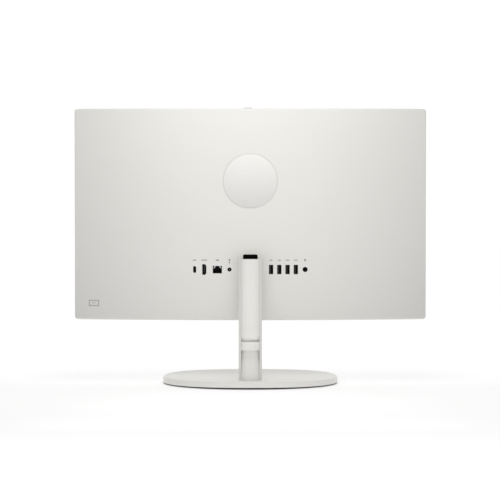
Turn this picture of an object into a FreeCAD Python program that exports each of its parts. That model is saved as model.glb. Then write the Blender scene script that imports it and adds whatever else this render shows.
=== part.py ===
"""All-in-one desktop computer on a tilting round-necked stand, as separate physical pieces.

Frame: millimetres, +Z up, origin on the desk under the middle of the stand's foot.
The screen faces -Y and the sockets face +Y. +X is to the right of someone who looks at the screen.
"""
import FreeCAD
import Part
import math
import os

V = FreeCAD.Vector

# ---------------------------------------------------------------- driving dimensions
HEAD_W = 541.0            # display head, overall width
HEAD_H = 324.0            # display head, overall height
HEAD_TOP = 421.4          # top edge of the head above the desk
HEAD_CORNER = 5.0         # corner radius of the head's outline
FRONT_Y = -12.0           # plane of the front face
BEZEL_BACK_Y = -9.5       # back of the front mouldings
COVER_FRONT_Y = -9.3      # front rim of the rear cover
WALL = 2.2                # wall of the rear cover
CROWN = 33.0              # rise of the rear cover above its rim, at its highest
CROWN_V = -0.17           # height of that highest line, as a share of half the head
CROWN_FALL = 17.4         # how fast the crown falls above and below that line
CROWN_POWER = 2.4         # how the crown falls towards the sides
COVER_FILLET = 3.0        # rounding of the rear cover's outer edge

ACTIVE_W = 527.04         # picture area of a 23.8 inch panel
ACTIVE_H = 296.46
TOP_MARGIN = 9.0          # from the head's top edge to the picture
REVEAL = 0.8              # black margin seen around the picture
BLACK_BAR = 4.0           # lower bar of the front frame

TILT_Y = 19.0             # tilt axis
TILT_Z = 183.0
NECK_HOLE_HALF = 11.2     # hole in the rear cover that the hinge arm goes through
NECK_HOLE_TOP = 198.1
NECK_HOLE_BOTTOM = 166.0

PORT_Z = 175.2            # height of the sockets' centre line
EMBLEM_Z = 309.4
EMBLEM_R = 41.2

BASE_W = 268.2            # foot, across
BASE_D = 172.0            # foot, front to back
BASE_TOP = 11.0
BASE_POWER = 2.4          # superellipse power of the foot's outline
COLUMN_W = 35.0
COLUMN_D = 31.5
COLUMN_Y = 53.75          # middle of the column, behind the middle of the foot
COLUMN_TOP = 191.4
COLUMN_POWER = 2.3
COLUMN_WALL = 2.4
STRIP_HALF = 13.4         # rear strip of the column
BAND_LOW = 56.1           # cable band
BAND_HIGH = 68.9

FAN_X = -60.0
FAN_Z = 350.0
GAP = 0.1                 # fitting gap between neighbouring pieces

# ---------------------------------------------------------------- worked out from them
HEAD_MID = HEAD_TOP - HEAD_H / 2
HEAD_LOW = HEAD_TOP - HEAD_H
PICTURE_TOP = HEAD_TOP - TOP_MARGIN
PICTURE_LOW = PICTURE_TOP - ACTIVE_H
WINDOW_HALF = ACTIVE_W / 2 + REVEAL
WINDOW_TOP = PICTURE_TOP + REVEAL
WINDOW_LOW = PICTURE_LOW - REVEAL
CHIN_TOP = WINDOW_LOW - BLACK_BAR
INNER_HALF = HEAD_W / 2 - WALL
INNER_TOP = HEAD_TOP - WALL
INNER_LOW = HEAD_LOW + WALL

BOARD_Y = 10.0            # motherboard, front face
BOARD_T = 1.6
BOARD_REAR = BOARD_Y + BOARD_T
TRAY_REAR_Y = -3.6        # back of the panel's steel tray
CHASSIS_Y = -1.5
CHASSIS_T = 1.2
SHUTTER_X = 4.3           # shutter's tab at rest, and as far on the other side when shut
SHUTTER_TAB = 12.9
SHUTTER_TOP = HEAD_TOP + 2.0
CAMERA_Z = 416.6
MICROPHONE_X = (-30, 30)
BUTTON_X = 235.0
BUTTON_Y = -4.5
COVER_SCREW_X = (-205.0, -90.0, 90.0, 205.0)
COVER_SCREW_Y = -4.5
USB_A_X = (-31.4, -43.9, -56.4, -69.0)


# ---------------------------------------------------------------- small helpers
def block(x0, x1, y0, y1, z0, z1):
    """A box between two corners."""
    return Part.makeBox(x1 - x0, y1 - y0, z1 - z0, V(x0, y0, z0))


def wide(half, y0, y1, z0, z1):
    """A box that is centred on X = 0."""
    return block(-half, half, y0, y1, z0, z1)


def rod_x(x0, x1, y, z, r):
    return Part.makeCylinder(r, x1 - x0, V(x0, y, z), V(1, 0, 0))


def rod_y(x, y0, y1, z, r):
    return Part.makeCylinder(r, y1 - y0, V(x, y0, z), V(0, 1, 0))


def rod_z(x, y, z0, z1, r):
    return Part.makeCylinder(r, z1 - z0, V(x, y, z0), V(0, 0, 1))


def one(shape):
    """The single solid in a boolean result, cleaned of leftover seams."""
    clean = shape.removeSplitter()
    return clean.Solids[0] if len(clean.Solids) == 1 else clean


def fuse(shapes):
    return one(shapes[0].multiFuse(shapes[1:])) if len(shapes) > 1 else shapes[0]


def cut(shape, tools):
    return one(shape.cut(Part.makeCompound(tools)))


def slab_xz(x0, x1, z0, z1, y0, y1, r):
    """A plate that stands in the XZ plane, with its four corners rounded."""
    plate = block(x0, x1, y0, y1, z0, z1)
    corners = [e for e in plate.Edges if abs(e.tangentAt(e.FirstParameter).y) > 0.9]
    return plate.makeFillet(r, corners)


def slab_xy(x0, x1, y0, y1, z0, z1, r):
    """A plate that lies in the XY plane, with its four corners rounded."""
    plate = block(x0, x1, y0, y1, z0, z1)
    corners = [e for e in plate.Edges if abs(e.tangentAt(e.FirstParameter).z) > 0.9]
    return plate.makeFillet(r, corners)


def superellipse(half_x, half_y, power, centre_y, z, points=64):
    """A closed smooth outline in a level plane."""
    around = []
    for i in range(points):
        t = 2 * math.pi * (i + 0.5) / points
        c, s = math.cos(t), math.sin(t)
        x = half_x * math.copysign(abs(c) ** (2 / power), c)
        y = half_y * math.copysign(abs(s) ** (2 / power), s)
        around.append(V(x, centre_y + y, z))
    curve = Part.BSplineCurve()
    curve.interpolate(Points=around, PeriodicFlag=True)
    return Part.Face(Part.Wire(curve.toShape()))


def prism(half_x, half_y, power, centre_y, z0, z1):
    """A superellipse outline carried up from z0 to z1."""
    return superellipse(half_x, half_y, power, centre_y, z0).extrude(V(0, 0, z1 - z0))


def round_top(solid, z, r):
    """Rounds the edges that lie at height z."""
    edges = [e for e in solid.Edges if max(abs(e.BoundBox.ZMin - z), abs(e.BoundBox.ZMax - z)) < 0.01]
    return solid.makeFillet(r, edges)


# ---------------------------------------------------------------- shape of the rear cover
def crown(x, z):
    """How far behind the rim plane the rear cover's outside is, at x and z."""
    u = abs(x) / (HEAD_W / 2)
    v = (z - HEAD_MID) / (HEAD_H / 2)
    return (CROWN - CROWN_FALL * (v - CROWN_V) ** 2) * (1 - u ** CROWN_POWER)


def crown_face(lift):
    """The rear cover's crowned surface, moved back by lift, a little larger than the head."""
    columns, rows, margin = 27, 17, 6.0
    grid = []
    for i in range(columns):
        x = (HEAD_W + 2 * margin) * (i / (columns - 1) - 0.5)
        line = []
        for k in range(rows):
            z = HEAD_MID + (HEAD_H + 2 * margin) * (k / (rows - 1) - 0.5)
            line.append(V(x, crown(x, z) + lift, z))
        grid.append(line)
    surface = Part.BSplineSurface()
    surface.interpolate(grid)
    return surface.toShape()


def head_body(inset, lift, y0):
    """The head's outline, filled from y0 back to the crowned surface."""
    far = 60.0
    half = HEAD_W / 2 - inset
    corner = HEAD_CORNER - inset * 0.6
    body = slab_xz(-half, half, HEAD_LOW + inset, HEAD_TOP - inset, y0, far, corner)
    beyond = crown_face(lift).extrude(V(0, 2 * far, 0))
    return one(body.cut(beyond))


def crown_edges(body):
    """The edges where the crowned surface meets the sides."""
    found = []
    for e in body.Edges:
        middle = e.valueAt((e.FirstParameter + e.LastParameter) / 2)
        if abs(middle.y - crown(middle.x, middle.z)) < 0.3 and middle.y > COVER_FRONT_Y + 4:
            found.append(e)
    return found


def inside_of_cover(x, z):
    """Y of the rear cover's inner surface at x and z."""
    return crown(x, z) - WALL


# ---------------------------------------------------------------- socket cutouts in the rear cover
CUTOUT_Y0, CUTOUT_Y1 = 15.0, 40.0


def stadium(x, z, width, height, y0, y1):
    """A slot that stands upright, with round ends."""
    r = width / 2
    reach = height / 2 - r
    return fuse([
        block(x - r, x + r, y0, y1, z - reach, z + reach),
        rod_y(x, y0, y1, z - reach, r),
        rod_y(x, y0, y1, z + reach, r),
    ])


def outline_y(points, y0, y1):
    """A straight-sided outline in the XZ plane carried from y0 to y1."""
    corners = [V(x, y0, z) for x, z in points]
    return Part.Face(Part.makePolygon(corners + corners[:1])).extrude(V(0, y1 - y0, 0))


def hdmi_outline(x, width, height, y0, y1):
    """Upright D: the wide side towards +X, the corners of the other side cut off."""
    half_w, half_h = width / 2, height / 2
    slope = width * 0.45
    points = [
        (x + half_w, PORT_Z - half_h), (x + half_w, PORT_Z + half_h),
        (x - half_w + slope * 0.6, PORT_Z + half_h), (x - half_w, PORT_Z + half_h - slope),
        (x - half_w, PORT_Z - half_h + slope), (x - half_w + slope * 0.6, PORT_Z - half_h),
    ]
    return outline_y(points, y0, y1)


def lan_outline(x, y0, y1):
    """Network socket: a rectangle with a latch channel above it that narrows upwards."""
    right = [(5.95, -5.2), (5.95, 1.9), (4.3, 1.9), (1.9, 5.4)]
    points = [(x + dx, PORT_Z + dz) for dx, dz in right]
    points += [(x - dx, PORT_Z + dz) for dx, dz in reversed(right)]
    return outline_y(points, y0, y1)


USB_C_X, HDMI_X, LAN_X, DC_X, AUDIO_X = 84.4, 69.8, 50.0, 31.6, -83.1
LAN_W, LAN_LOW, LAN_TOP = 13.9, 169.3, 180.8
DC_R, AUDIO_R = 3.0, 3.7
LIGHT_X, LIGHT_Z, LIGHT_R = 31.6, 185.6, 0.8
TOP_VENT = (26.0, 150.0, -6.4, 2.6)       # x from, x to on each side, y from, y to
LOW_VENT = (182.0, 0.5, 8.5)              # half length, y from, y to
GRILLE_PITCH, GRILLE_BAR = 4.0, 1.6


def socket_cutouts():
    y0, y1 = CUTOUT_Y0, CUTOUT_Y1
    tools = [slab_xz(x - 3.25, x + 3.25, PORT_Z - 7.15, PORT_Z + 7.15, y0, y1, 0.6) for x in USB_A_X]
    tools.append(stadium(USB_C_X, PORT_Z, 4.6, 10.4, y0, y1))
    tools.append(hdmi_outline(HDMI_X, 6.2, 16.2, y0, y1))
    tools.append(slab_xz(LAN_X - LAN_W / 2, LAN_X + LAN_W / 2, LAN_LOW, LAN_TOP, y0, y1, 0.5))
    tools.append(rod_y(DC_X, y0, y1, PORT_Z, DC_R + GAP))
    tools.append(rod_y(AUDIO_X, y0, y1, PORT_Z, AUDIO_R + 2 * GAP))
    tools.append(rod_y(LIGHT_X, y0, y1, LIGHT_Z, LIGHT_R + GAP))
    return tools


def rear_cover():
    outside = head_body(0.0, 0.0, COVER_FRONT_Y)
    outside = outside.makeFillet(COVER_FILLET, crown_edges(outside))
    inside = head_body(WALL, -WALL, COVER_FRONT_Y - 5)
    tools = [inside] + socket_cutouts()
    half = NECK_HOLE_HALF
    tools.append(slab_xz(-half, half, NECK_HOLE_BOTTOM, NECK_HOLE_TOP, 20.0, 40.0, 2.6))
    slot_half = SHUTTER_X + SHUTTER_TAB / 2 + 0.3
    tools.append(wide(slot_half, -8.5, -6.5, INNER_TOP - 1, HEAD_TOP + 1))
    x0, x1, y0, y1 = TOP_VENT
    for side in (-1, 1):
        a, b = sorted((side * x0, side * x1))
        tools.append(slab_xy(a, b, y0, y1, INNER_TOP - 1, HEAD_TOP + 1, 1.5))
    half, y0, y1 = LOW_VENT
    tools.append(slab_xy(-half, half, y0, y1, HEAD_LOW - 1, INNER_LOW + 1, 1.5))
    tools.append(slab_xy(BUTTON_X - 7.2, BUTTON_X + 7.2, BUTTON_Y - 2.7, BUTTON_Y + 2.7,
                         HEAD_LOW - 1, INNER_LOW + 1, 2.6))
    for x in COVER_SCREW_X:
        tools.append(rod_z(x, COVER_SCREW_Y, HEAD_LOW - 1, INNER_LOW - 0.7, 3.0))
        tools.append(rod_z(x, COVER_SCREW_Y, HEAD_LOW - 1, INNER_LOW + 1, 1.7))
    recess = crown_face(-0.9).extrude(V(0, 8, 0))
    tools.append(one(recess.common(rod_y(0, 15, 45, EMBLEM_Z, EMBLEM_R + 0.3))))
    return one(outside.cut(tools))


def emblem_disc():
    """A plain round badge that follows the crown, with one turned groove."""
    layer = crown_face(-0.8).extrude(V(0, 1.1, 0))
    disc = layer.common(rod_y(0, 15, 45, EMBLEM_Z, EMBLEM_R))
    groove_r = EMBLEM_R * 0.86
    ring = rod_y(0, 15, 45, EMBLEM_Z, groove_r).cut(rod_y(0, 15, 45, EMBLEM_Z, groove_r - 0.8))
    shallow = crown_face(0.0).extrude(V(0, 3, 0)).common(ring)
    return one(disc.cut(shallow))


def grille(x0, x1, y0, y1, z0, z1, pitch, bar):
    """A vent insert: a plate with a row of slots."""
    plate = slab_xy(x0 + GAP, x1 - GAP, y0 + GAP, y1 - GAP, z0, z1, 1.4)
    count = int((x1 - x0 - 2 * bar) / pitch)
    start = (x0 + x1) / 2 - pitch * (count - 1) / 2
    slots = [block(start + i * pitch - (pitch - bar) / 2, start + i * pitch + (pitch - bar) / 2,
                   y0 + 1.2, y1 - 1.2, z0 - 1, z1 + 1) for i in range(count)]
    return cut(plate, slots)


def top_grilles():
    x0, x1, y0, y1 = TOP_VENT
    z0, z1 = HEAD_TOP - 1.8, HEAD_TOP - 0.3
    sides = ((x0, x1), (-x1, -x0))
    return Part.makeCompound([grille(a, b, y0, y1, z0, z1, GRILLE_PITCH, GRILLE_BAR) for a, b in sides])


def bottom_grille():
    half, y0, y1 = LOW_VENT
    return grille(-half, half, y0, y1, HEAD_LOW + 0.3, HEAD_LOW + 1.8, GRILLE_PITCH, GRILLE_BAR)


# ---------------------------------------------------------------- front of the head
FRONT_CUT = (FRONT_Y - 1, BEZEL_BACK_Y + 1)      # from in front of the front mouldings to behind them


def front_blank():
    """The outline of the whole front, as one plate."""
    inset = 0.3
    half = HEAD_W / 2 - inset
    return slab_xz(-half, half, HEAD_LOW + inset, HEAD_TOP - inset, FRONT_Y, BEZEL_BACK_Y,
                   HEAD_CORNER - inset)


def bezel_frame():
    """Black front frame around the picture."""
    window = slab_xz(-WINDOW_HALF, WINDOW_HALF, WINDOW_LOW, WINDOW_TOP, *FRONT_CUT, 0.8)
    below = wide(HEAD_W, *FRONT_CUT, HEAD_LOW - 5, CHIN_TOP + GAP)
    eye = rod_y(0, *FRONT_CUT, CAMERA_Z, 1.7)
    ears = [rod_y(x, *FRONT_CUT, CAMERA_Z, 0.5) for x in MICROPHONE_X]
    return cut(front_blank(), [window, below, eye] + ears)


def chin_cover():
    """White strip under the picture, with the bosses that the rear cover's screws go into."""
    chin = one(front_blank().common(wide(HEAD_W, *FRONT_CUT, HEAD_LOW - 5, CHIN_TOP)))
    bosses = [block(x - 4, x + 4, BEZEL_BACK_Y - 0.5, -1.0, INNER_LOW + GAP, INNER_LOW + 9)
              for x in COVER_SCREW_X]
    holes = [rod_z(x, COVER_SCREW_Y, INNER_LOW - 1, INNER_LOW + 8, 1.45) for x in COVER_SCREW_X]
    return cut(fuse([chin] + bosses), holes)


def cover_screws():
    screws = []
    for x in COVER_SCREW_X:
        head = rod_z(x, COVER_SCREW_Y, HEAD_LOW + 0.2, INNER_LOW - 0.75, 2.7)
        cross = [block(x - dx, x + dx, COVER_SCREW_Y - dy, COVER_SCREW_Y + dy, HEAD_LOW, HEAD_LOW + 0.9)
                 for dx, dy in ((1.4, 0.3), (0.3, 1.4))]
        shank = rod_z(x, COVER_SCREW_Y, INNER_LOW - 0.76, INNER_LOW + 7.5, 1.4)
        screws.append(cut(fuse([head, shank]), cross))
    return Part.makeCompound(screws)


# ---------------------------------------------------------------- display panel, front to back
CELL_HALF, CELL_LOW, CELL_TOP = 266.0, 111.8, 414.6
GUIDE_LOW, GUIDE_TOP = 115.4, 413.7
TRAY_HALF, TRAY_LOW, TRAY_TOP, TRAY_T = 267.2, 111.2, 414.7, 0.8


def lcd_cell():
    return wide(CELL_HALF, -9.4, -7.8, CELL_LOW, CELL_TOP)


def optical_sheets():
    """Diffuser, prism film and rear reflector."""
    films = ((-7.7, 0.4), (-7.2, 0.3), (-4.7, 0.2))      # front face and thickness of each
    return Part.makeCompound([wide(CELL_HALF, y, y + t, GUIDE_LOW, GUIDE_TOP) for y, t in films])


def light_guide():
    return wide(CELL_HALF, -6.8, -4.8, GUIDE_LOW, GUIDE_TOP)


def led_strip():
    """Narrow board with a row of light-emitting diodes that shine up into the light guide."""
    board = wide(262.0, -6.6, -5.0, 112.2, 113.4)
    step = 10.0
    diodes = [block(i * step - 1.8, i * step + 1.8, -6.6, -5.0, 113.3, 115.0) for i in range(-26, 27)]
    return fuse([board] + diodes)


def panel_tray():
    outer = wide(TRAY_HALF, -7.7, TRAY_REAR_Y, TRAY_LOW, TRAY_TOP)
    inner = wide(TRAY_HALF - TRAY_T, -8.7, TRAY_REAR_Y - TRAY_T, TRAY_LOW + TRAY_T, TRAY_TOP - TRAY_T)
    return one(outer.cut(inner))


def panel_board():
    """Timing controller board of the panel."""
    board = block(-180, -60, -3.0, -1.8, 126.5, 138.5)
    chips = [block(-150, -138, -1.9, -0.9, 127.5, 137.5), block(-100, -92, -1.9, -1.0, 128.5, 136.5),
             block(-178, -164, -1.9, 0.2, 129, 136)]
    return fuse([board] + chips)


# ---------------------------------------------------------------- steel inside the head
STANDOFFS = ((-104, 168), (104, 168), (-104, 284), (104, 284), (0, 284))
BRACKET_SCREWS = ((-36, 158), (36, 158), (-36, 226), (36, 226))
FAN_EAR_X, FAN_EAR_Z = (FAN_X - 20, FAN_X + 20), 311.0
CHASSIS_TOP = 317.0
CHEEK_IN, CHEEK_OUT = 11.6, 14.6


def chassis_plate():
    """Pressed plate behind the panel that carries the boards and the hinge."""
    rear = CHASSIS_Y + CHASSIS_T
    plate = slab_xz(-165, 165, 141, CHASSIS_TOP, CHASSIS_Y, rear, 6)
    windows = [slab_xz(-150, -122, 160, 300, CHASSIS_Y - 1, rear + 1, 4),
               slab_xz(122, 150, 160, 300, CHASSIS_Y - 1, rear + 1, 4)]
    plate = cut(plate, windows)
    posts = [rod_y(x, rear - 0.2, BOARD_Y, z, 3.0) for x, z in STANDOFFS]
    bores = [rod_y(x, rear + 3, BOARD_Y + 1, z, 1.5) for x, z in STANDOFFS]
    bores += [rod_y(x, CHASSIS_Y - 1, rear + 1, z, 1.55) for x, z in BRACKET_SCREWS]
    bores += [rod_y(x, CHASSIS_Y - 1, rear + 1, FAN_EAR_Z, 1.55) for x in FAN_EAR_X]
    return cut(fuse([plate] + posts), bores)


def hinge_bracket():
    """Plate with two cheeks that hold the tilt pin."""
    rear = CHASSIS_Y + CHASSIS_T
    plate = slab_xz(-45, 45, 150, 234, rear + GAP, rear + 2.6, 5)
    cheeks = []
    for side in (-1, 1):
        x0, x1 = sorted((side * CHEEK_IN, side * CHEEK_OUT))
        cheeks.append(block(x0, x1, rear + 2.4, TILT_Y, TILT_Z - 12, TILT_Z + 9))
        cheeks.append(rod_x(x0, x1, TILT_Y, TILT_Z, 9.0))
    pin_hole = rod_x(-20, 20, TILT_Y, TILT_Z, 4.05)
    holes = [rod_y(x, rear - 1, rear + 4, z, 1.6) for x, z in BRACKET_SCREWS]
    return cut(fuse([plate] + cheeks), [pin_hole] + holes)


def hinge_pin():
    shaft = rod_x(-CHEEK_OUT - 1, 21.0, TILT_Y, TILT_Z, 4.0)
    head = rod_x(-CHEEK_OUT - 3.2, -CHEEK_OUT - GAP, TILT_Y, TILT_Z, 6.5)
    return fuse([head, shaft])


def hexagon_x(x0, x1, across, y, z):
    r = across / math.sqrt(3)
    angles = [math.pi / 3 * i for i in range(6)]
    ring = [V(x0, y + r * math.cos(t), z + r * math.sin(t)) for t in angles]
    return Part.Face(Part.makePolygon(ring + ring[:1])).extrude(V(x1 - x0, 0, 0))


def hinge_nut():
    nut = hexagon_x(CHEEK_OUT + GAP, CHEEK_OUT + 4.6, 13.0, TILT_Y, TILT_Z)
    return cut(nut, [rod_x(0, 30, TILT_Y, TILT_Z, 4.04)])


def hinge_washers():
    """Friction washers between the arm's barrel and the cheeks."""
    made = []
    for side in (-1, 1):
        x0, x1 = sorted((side * 9.6, side * 11.5))
        made.append(rod_x(x0, x1, TILT_Y, TILT_Z, 8.0).cut(rod_x(-20, 20, TILT_Y, TILT_Z, 4.05)))
    return Part.makeCompound(made)


def pan_screw(x, z, seat, head_t, tip, r):
    """A screw along Y: its head is behind the seat and its tip in front of it."""
    return fuse([rod_y(x, seat, seat + head_t, z, 2.8), rod_y(x, tip, seat + 0.1, z, r)])


def chassis_screws():
    """Screws that hold the motherboard, the hinge bracket and the blower."""
    rear = CHASSIS_Y + CHASSIS_T
    made = [pan_screw(x, z, BOARD_REAR + GAP, 1.8, rear + 4, 1.45) for x, z in STANDOFFS]
    made += [pan_screw(x, z, rear + 2.7, 1.7, CHASSIS_Y - 0.5, 1.5) for x, z in BRACKET_SCREWS]
    made += [pan_screw(x, FAN_EAR_Z, rear + 1.6, 1.6, CHASSIS_Y - 0.5, 1.5) for x in FAN_EAR_X]
    return Part.makeCompound(made)


# ---------------------------------------------------------------- electronics
def motherboard():
    board = slab_xz(-112, 112, 160, 292, BOARD_Y, BOARD_REAR, 2)
    notch = slab_xz(-21, 21, 150, 214, BOARD_Y - 1, BOARD_REAR + 1, 1.5)
    holes = [rod_y(x, BOARD_Y - 1, BOARD_REAR + 1, z, 1.6) for x, z in STANDOFFS]
    board = cut(board, [notch] + holes)
    rear = BOARD_REAR - 0.1
    chips = [block(20, 34, rear, rear + 1.2, 222, 236), block(-46, -34, rear, rear + 1.6, 236, 248),
             block(-72, -60, rear, rear + 1.3, 190, 199), block(66, 76, rear, rear + 1.2, 186, 194)]
    coils = [block(-16 + 11 * i, -8 + 11 * i, rear, rear + 3.0, 217, 225) for i in range(3)]
    caps = [rod_y(x, rear, rear + 5.0, z, 2.6) for x, z in ((92, 190), (84, 190), (-96, 208), (-88, 208))]
    return fuse([board] + chips + coils + caps)


def cold_plate():
    """Plate on the processor, held by four sprung arms."""
    base = slab_xz(-20, 20, 234, 272, BOARD_REAR + 2.0, BOARD_REAR + 4.5, 3)
    die = block(-8, 8, BOARD_REAR + GAP, BOARD_REAR + 2.1, 246, 258)
    return fuse([base, die])


def flat_pipe(points, width, y0, y1):
    """A flattened heat pipe that follows points in the XZ plane, with round joints."""
    pieces = []
    for (xa, za), (xb, zb) in zip(points, points[1:]):
        length = math.hypot(xb - xa, zb - za)
        bar = block(0, length, y0, y1, -width / 2, width / 2)
        bar.rotate(V(0, 0, 0), V(0, 1, 0), -math.degrees(math.atan2(zb - za, xb - xa)))
        bar.translate(V(xa, 0, za))
        pieces.append(bar)
    pieces += [rod_y(x, y0, y1, z, width / 2) for x, z in points]
    return fuse(pieces)


PIPE_Y0, PIPE_Y1 = BOARD_REAR + 4.6, BOARD_REAR + 7.2


def heat_pipe():
    """Runs off the cold plate, steps forward above the board and ends over the fins."""
    low = flat_pipe([(0, 240), (0, 300), (-4, 312)], 8.0, PIPE_Y0, PIPE_Y1)
    step = block(-8, 0, 6.6, PIPE_Y1, 308, 316)
    high = flat_pipe([(-4, 312), (-6, 330), (-8, 384), (-16, 395.5), (-90, 395.5)], 8.0, 6.6, 9.2)
    return fuse([low, step, high])


def fin_stack():
    """Row of upright fins above the blower's outlet."""
    low, high = 388.4, 402.6
    spine = block(-92, -28, -1.6, -0.8, low, high)
    fins = [block(-92 + 2.0 * i, -92 + 2.0 * i + 0.5, -0.9, 6.4, low, high) for i in range(32)]
    return fuse([spine] + fins)


FAN_R = 26.0
FAN_Y0, FAN_Y1 = -2.0, 8.6


def fan_housing():
    """Blower shell: closed at the front, open eye at the back, mouth at the top."""
    wall = 1.2
    outer = slab_xz(FAN_X - 32, FAN_X + 32, FAN_Z - 32, FAN_Z + 38, FAN_Y0, FAN_Y1, 10)
    inner = slab_xz(FAN_X - 32 + wall, FAN_X + 32 - wall, FAN_Z - 32 + wall, FAN_Z + 38 - wall,
                    FAN_Y0 + wall, FAN_Y1 - wall, 9)
    mouth = block(FAN_X - 26, FAN_X + 26, FAN_Y0 + wall, FAN_Y1 - wall, FAN_Z + 30, FAN_Z + 40)
    eye = rod_y(FAN_X, FAN_Y1 - 3, FAN_Y1 + 1, FAN_Z, 19)
    post = rod_y(FAN_X, FAN_Y0 + 0.4, FAN_Y0 + 5.4, FAN_Z, 1.5)
    rear = CHASSIS_Y + CHASSIS_T
    ears = [block(x - 6, x + 6, rear + 0.05, rear + 1.5, FAN_EAR_Z - 6, FAN_Z - 31.5) for x in FAN_EAR_X]
    ears = [cut(ear, [rod_y(x, -5, 5, FAN_EAR_Z, 1.6)]) for ear, x in zip(ears, FAN_EAR_X)]
    return fuse([cut(outer, [inner, mouth, eye]), post] + ears)


def fan_rotor():
    """Impeller with a ring of blades that lean back, on a hub that turns on the housing's post."""
    y0, y1 = FAN_Y0 + 2.0, FAN_Y1 - 2.0
    hub = rod_y(FAN_X, y0, y1, FAN_Z, 9.5).cut(rod_y(FAN_X, y0 - 1, y0 + 4.0, FAN_Z, 1.55))
    disc = rod_y(FAN_X, y0, y0 + 1.0, FAN_Z, FAN_R).cut(rod_y(FAN_X, y0 - 1, y0 + 2, FAN_Z, 9.0))
    blades = []
    count = 23
    for i in range(count):
        blade = block(15.0, FAN_R - 0.4, y0 + 0.5, y1 - 0.4, -0.4, 0.4)
        blade.rotate(V(15.0, 0, 0), V(0, 1, 0), 28)
        blade.rotate(V(0, 0, 0), V(0, 1, 0), 360.0 * i / count)
        blade.translate(V(FAN_X, 0, FAN_Z))
        blades.append(blade)
    ring = rod_y(FAN_X, y1 - 1.0, y1 - 0.4, FAN_Z, FAN_R)
    ring = ring.cut(rod_y(FAN_X, y0, y1 + 1, FAN_Z, FAN_R - 2.5))
    return fuse([hub, disc, ring] + blades)


MEMORY_X0, MEMORY_X1, MEMORY_Z = 38.0, 105.6, (205.0, 243.0)


def memory_sockets():
    rear = BOARD_REAR + GAP
    made = []
    for z in MEMORY_Z:
        bar = block(MEMORY_X0 - 2, MEMORY_X1 + 2, rear, rear + 5.0, z - 6, z + 1)
        groove = block(MEMORY_X0 - 0.2, MEMORY_X1 + 0.2, rear + 1.9, rear + 3.3, z - 3, z + 2)
        made.append(cut(bar, [groove]))
    return Part.makeCompound(made)


def memory_modules():
    rear = BOARD_REAR + GAP
    made = []
    for z in MEMORY_Z:
        card = block(MEMORY_X0, MEMORY_X1, rear + 2.0, rear + 3.2, z - 2.8, z + 27.2)
        starts = [MEMORY_X0 + 3 + 16 * i for i in range(4)]
        chips = [block(x, x + 12, rear + 3.1, rear + 4.1, z + 8, z + 18) for x in starts]
        made.append(fuse([card] + chips))
    return Part.makeCompound(made)


def small_card(x0, x1, z0, z1, chips):
    """A plug-in card on its connector and standoff, on the back of the motherboard."""
    rear = BOARD_REAR + GAP
    card = block(x0, x1, rear + 2.4, rear + 3.2, z0, z1)
    connector = block(x0, x0 + 5, rear, rear + 2.5, z0 + 1, z1 - 1)
    post = rod_y(x1 - 3, rear, rear + 2.5, (z0 + z1) / 2, 2.2)
    tops = [block(a, b, rear + 3.1, rear + 4.4, z0 + 3, z1 - 3) for a, b in chips]
    return fuse([card, connector, post] + tops)


def ssd_card():
    return small_card(-108, -28, 254, 276, ((-98, -80), (-74, -60), (-56, -42)))


def wifi_card():
    return small_card(-108, -78, 222, 244, ((-100, -86),))


def coin_cell():
    rear = BOARD_REAR + GAP
    return fuse([rod_y(-52, rear, rear + 1.6, 213, 11.5), rod_y(-52, rear + 1.5, rear + 4.4, 213, 10.0)])


def speaker(side):
    """Sealed speaker box with a downward oval driver."""
    x0, x1 = sorted((side * 104, side * 178))
    box = block(x0, x1, -3.0, 9.4, 102.5, 123.5)
    box = box.makeFillet(2.0, [e for e in box.Edges if abs(e.tangentAt(e.FirstParameter).x) > 0.9])
    mid = side * 141
    driver = slab_xy(mid - 20, mid + 20, -1.5, 8.0, 100.8, 102.6, 4.0)
    return fuse([box, driver])


def antennas():
    made = []
    for side in (-1, 1):
        x0, x1 = sorted((side * 118, side * 160))
        made.append(block(x0, x1, -3.3, -2.5, 401, 412))
    return Part.makeCompound(made)


def camera_module():
    """Narrow board above the panel: camera barrel in the middle, a microphone near each end."""
    board = wide(36, -6.2, -5.2, 415.1, 418.1)
    barrel = rod_y(0, -8.6, -6.1, CAMERA_Z, 1.5).cut(rod_y(0, -8.7, -7.6, CAMERA_Z, 1.15))
    body = block(-3.2, 3.2, -7.4, -6.1, 415.1, 418.1)
    mics = [block(x - 1.6, x + 1.6, -7.4, -6.1, 415.4, 417.8) for x in MICROPHONE_X]
    return fuse([board, body, barrel] + mics)


def camera_lens():
    """Small domed lens in the end of the barrel."""
    glass = Part.makeSphere(1.6, V(0, -7.3, CAMERA_Z))
    keep = rod_y(0, -8.55, -7.65, CAMERA_Z, 1.05)
    return one(glass.common(keep))


def camera_shutter():
    """Thin slide in front of the camera: open at rest, shut when the tab is pushed across."""
    blade = block(-5.0, 15.5, -9.35, -8.9, 414.9, 418.9)
    blade = cut(blade, [rod_y(0, -10, -8, CAMERA_Z, 1.95)])
    x0, x1 = SHUTTER_X - SHUTTER_TAB / 2, SHUTTER_X + SHUTTER_TAB / 2
    foot = block(x0, x1, -9.3, -6.8, 418.4, 418.9)
    tab = round_top(block(x0, x1, -8.3, -6.8, 418.4, SHUTTER_TOP), SHUTTER_TOP, 0.6)
    return fuse([blade, foot, tab])


def power_button():
    """Pill-shaped key in the underside, with a flange that keeps it in."""
    def pill(half_x, half_y, z0, z1, r):
        return slab_xy(BUTTON_X - half_x, BUTTON_X + half_x, BUTTON_Y - half_y, BUTTON_Y + half_y,
                       z0, z1, r)

    stem = round_top(pill(7.0, 2.5, HEAD_LOW - 0.5, INNER_LOW + 0.3, 2.45), HEAD_LOW - 0.5, 0.4)
    return fuse([stem, pill(8.2, 3.6, INNER_LOW + 0.02, INNER_LOW + 1.4, 2.0)])


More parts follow.
